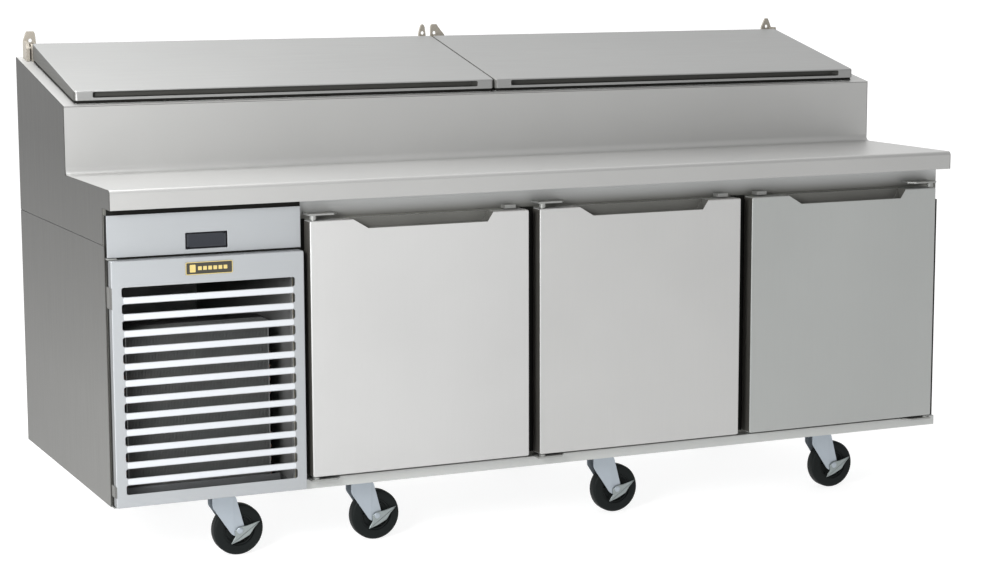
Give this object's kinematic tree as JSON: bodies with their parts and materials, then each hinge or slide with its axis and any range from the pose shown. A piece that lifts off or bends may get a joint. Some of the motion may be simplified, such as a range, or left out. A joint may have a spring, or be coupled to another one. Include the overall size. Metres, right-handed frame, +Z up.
{
  "type": "sandwich prep table",
  "caption": "Refrigerated prep table: cold cabinet with hinged doors, louvered machine bay, worktop and a raised rail of food pans under hinged lids, on swivel casters.",
  "frame": {"origin": "on the floor under the middle of the table", "axes": "+X along the table to the right as seen from the front, +Y towards the back, +Z up"},
  "size_m": [2.318, 0.9, 1.255],
  "materials": {
    "stainless": "satin",
    "side_steel": "satin",
    "rear_steel": "satin",
    "door_steel": "satin",
    "fascia_steel": "satin",
    "liner": "satin",
    "door_inner": "matte",
    "lid_inner": "matte",
    "foam": "matte",
    "gasket": "matte",
    "hinge_metal": "satin",
    "lid_hinge_metal": "satin",
    "pan_steel": "satin",
    "shelf_wire": "gloss",
    "badge_metal": "satin",
    "display": "gloss",
    "tray_steel": "satin",
    "coil_metal": "satin",
    "compressor_black": "satin",
    "fan_plastic": "matte",
    "fork_zinc": "satin",
    "wheel_black": "matte",
    "lever_zinc": "satin"
  },
  "bodies": {
    "cabinet": {"left_side_panel": "side_steel", "right_side_panel": "side_steel", "left_end_panel": "side_steel", "right_end_panel": "side_steel", "back_panel": "rear_steel", "bottom_panel": "rear_steel", "front_frame": "stainless", "cabinet_liner": "liner", "insulation": "foam", "wire_shelves": "shelf_wire", "worktop": "stainless", "rail_deck": "stainless", "rail_well": "liner", "food_pans": "pan_steel", "lid_hinges": "lid_hinge_metal", "hinge_brackets": "hinge_metal", "control_panel": "fascia_steel", "display_window": "display", "condensing_base": "tray_steel", "condenser": "coil_metal", "compressor": "compressor_black", "evaporator": "coil_metal", "caster_plates": "fork_zinc"},
    "door_1": {"door_skin_1": "door_steel", "door_liner_1": "door_inner", "door_gasket_1": "gasket"},
    "door_2": {"door_skin_2": "door_steel", "door_liner_2": "door_inner", "door_gasket_2": "gasket"},
    "door_3": {"door_skin_3": "door_steel", "door_liner_3": "door_inner", "door_gasket_3": "gasket"},
    "lid_1": {"lid_skin_1": "stainless", "lid_inner_1": "lid_inner"},
    "lid_2": {"lid_skin_2": "stainless", "lid_inner_2": "lid_inner"},
    "louver_door": {"louver_panel": "fascia_steel", "badge": "badge_metal"},
    "condenser_fan_rotor": {"condenser_fan": "fan_plastic"},
    "evaporator_fan_rotor": {"evaporator_fan": "fan_plastic"},
    "fork_front_1": {"caster_fork_front_1": "fork_zinc"},
    "wheel_front_1": {"caster_wheel_front_1": "wheel_black"},
    "lever_front_1": {"brake_lever_front_1": "lever_zinc"},
    "fork_front_2": {"caster_fork_front_2": "fork_zinc"},
    "wheel_front_2": {"caster_wheel_front_2": "wheel_black"},
    "lever_front_2": {"brake_lever_front_2": "lever_zinc"},
    "fork_front_3": {"caster_fork_front_3": "fork_zinc"},
    "wheel_front_3": {"caster_wheel_front_3": "wheel_black"},
    "lever_front_3": {"brake_lever_front_3": "lever_zinc"},
    "fork_front_4": {"caster_fork_front_4": "fork_zinc"},
    "wheel_front_4": {"caster_wheel_front_4": "wheel_black"},
    "lever_front_4": {"brake_lever_front_4": "lever_zinc"},
    "fork_rear_1": {"caster_fork_rear_1": "fork_zinc"},
    "wheel_rear_1": {"caster_wheel_rear_1": "wheel_black"},
    "fork_rear_2": {"caster_fork_rear_2": "fork_zinc"},
    "wheel_rear_2": {"caster_wheel_rear_2": "wheel_black"},
    "fork_rear_3": {"caster_fork_rear_3": "fork_zinc"},
    "wheel_rear_3": {"caster_wheel_rear_3": "wheel_black"},
    "fork_rear_4": {"caster_fork_rear_4": "fork_zinc"},
    "wheel_rear_4": {"caster_wheel_rear_4": "wheel_black"}
  },
  "joints": [
    {"name": "door_1_hinge", "type": "hinge", "parent": "cabinet", "child": "door_1", "pos_m": [-0.655, -0.421, 0.51], "axis": [0, 0, -1], "range_deg": [0, 120], "stiffness_Nm_per_rad": 0.6},
    {"name": "door_2_hinge", "type": "hinge", "parent": "cabinet", "child": "door_2", "pos_m": [-0.047, -0.421, 0.51], "axis": [0, 0, -1], "range_deg": [0, 120], "stiffness_Nm_per_rad": 0.6},
    {"name": "door_3_hinge", "type": "hinge", "parent": "cabinet", "child": "door_3", "pos_m": [1.114, -0.421, 0.51], "axis": [0, 0, 1], "range_deg": [0, 120], "stiffness_Nm_per_rad": 0.6},
    {"name": "lid_1_hinge", "type": "hinge", "parent": "cabinet", "child": "lid_1", "pos_m": [-0.561, 0.412, 1.212], "axis": [-1, 0, 0], "range_deg": [0, 106]},
    {"name": "lid_2_hinge", "type": "hinge", "parent": "cabinet", "child": "lid_2", "pos_m": [0.557, 0.412, 1.212], "axis": [-1, 0, 0], "range_deg": [0, 106]},
    {"name": "louver_door_hinge", "type": "hinge", "parent": "cabinet", "child": "louver_door", "pos_m": [-1.146, -0.404, 0.462], "axis": [0, 0, -1], "range_deg": [0, 95]},
    {"name": "condenser_fan_spin", "type": "hinge", "parent": "cabinet", "child": "condenser_fan_rotor", "pos_m": [-0.914, -0.19, 0.375], "axis": [0, 1, 0], "continuous": true},
    {"name": "evaporator_fan_spin", "type": "hinge", "parent": "cabinet", "child": "evaporator_fan_rotor", "pos_m": [-0.464, 0.23, 0.664], "axis": [0, 1, 0], "continuous": true},
    {"name": "swivel_front_1", "type": "hinge", "parent": "cabinet", "child": "fork_front_1", "pos_m": [-0.864, -0.32, 0.15], "axis": [0, 0, 1], "continuous": true},
    {"name": "roll_front_1", "type": "hinge", "parent": "fork_front_1", "child": "wheel_front_1", "pos_m": [-0.827, -0.32, 0.0635], "axis": [0, 1, 0], "continuous": true},
    {"name": "brake_front_1", "type": "hinge", "parent": "fork_front_1", "child": "lever_front_1", "pos_m": [-0.827, -0.32, 0.0635], "axis": [0, 1, 0], "range_deg": [0, 20]},
    {"name": "swivel_front_2", "type": "hinge", "parent": "cabinet", "child": "fork_front_2", "pos_m": [-0.505, -0.32, 0.15], "axis": [0, 0, 1], "continuous": true},
    {"name": "roll_front_2", "type": "hinge", "parent": "fork_front_2", "child": "wheel_front_2", "pos_m": [-0.468, -0.32, 0.0635], "axis": [0, 1, 0], "continuous": true},
    {"name": "brake_front_2", "type": "hinge", "parent": "fork_front_2", "child": "lever_front_2", "pos_m": [-0.468, -0.32, 0.0635], "axis": [0, 1, 0], "range_deg": [0, 20]},
    {"name": "swivel_front_3", "type": "hinge", "parent": "cabinet", "child": "fork_front_3", "pos_m": [0.17, -0.32, 0.15], "axis": [0, 0, 1], "continuous": true},
    {"name": "roll_front_3", "type": "hinge", "parent": "fork_front_3", "child": "wheel_front_3", "pos_m": [0.207, -0.32, 0.0635], "axis": [0, 1, 0], "continuous": true},
    {"name": "brake_front_3", "type": "hinge", "parent": "fork_front_3", "child": "lever_front_3", "pos_m": [0.207, -0.32, 0.0635], "axis": [0, 1, 0], "range_deg": [0, 20]},
    {"name": "swivel_front_4", "type": "hinge", "parent": "cabinet", "child": "fork_front_4", "pos_m": [0.8375, -0.32, 0.15], "axis": [0, 0, 1], "continuous": true},
    {"name": "roll_front_4", "type": "hinge", "parent": "fork_front_4", "child": "wheel_front_4", "pos_m": [0.8745, -0.32, 0.0635], "axis": [0, 1, 0], "continuous": true},
    {"name": "brake_front_4", "type": "hinge", "parent": "fork_front_4", "child": "lever_front_4", "pos_m": [0.8745, -0.32, 0.0635], "axis": [0, 1, 0], "range_deg": [0, 20]},
    {"name": "swivel_rear_1", "type": "hinge", "parent": "cabinet", "child": "fork_rear_1", "pos_m": [-0.864, 0.32, 0.15], "axis": [0, 0, 1], "continuous": true},
    {"name": "roll_rear_1", "type": "hinge", "parent": "fork_rear_1", "child": "wheel_rear_1", "pos_m": [-0.827, 0.32, 0.0635], "axis": [0, 1, 0], "continuous": true},
    {"name": "swivel_rear_2", "type": "hinge", "parent": "cabinet", "child": "fork_rear_2", "pos_m": [-0.505, 0.32, 0.15], "axis": [0, 0, 1], "continuous": true},
    {"name": "roll_rear_2", "type": "hinge", "parent": "fork_rear_2", "child": "wheel_rear_2", "pos_m": [-0.468, 0.32, 0.0635], "axis": [0, 1, 0], "continuous": true},
    {"name": "swivel_rear_3", "type": "hinge", "parent": "cabinet", "child": "fork_rear_3", "pos_m": [0.17, 0.32, 0.15], "axis": [0, 0, 1], "continuous": true},
    {"name": "roll_rear_3", "type": "hinge", "parent": "fork_rear_3", "child": "wheel_rear_3", "pos_m": [0.207, 0.32, 0.0635], "axis": [0, 1, 0], "continuous": true},
    {"name": "swivel_rear_4", "type": "hinge", "parent": "cabinet", "child": "fork_rear_4", "pos_m": [0.8375, 0.32, 0.15], "axis": [0, 0, 1], "continuous": true},
    {"name": "roll_rear_4", "type": "hinge", "parent": "fork_rear_4", "child": "wheel_rear_4", "pos_m": [0.8745, 0.32, 0.0635], "axis": [0, 1, 0], "continuous": true}
  ]
}
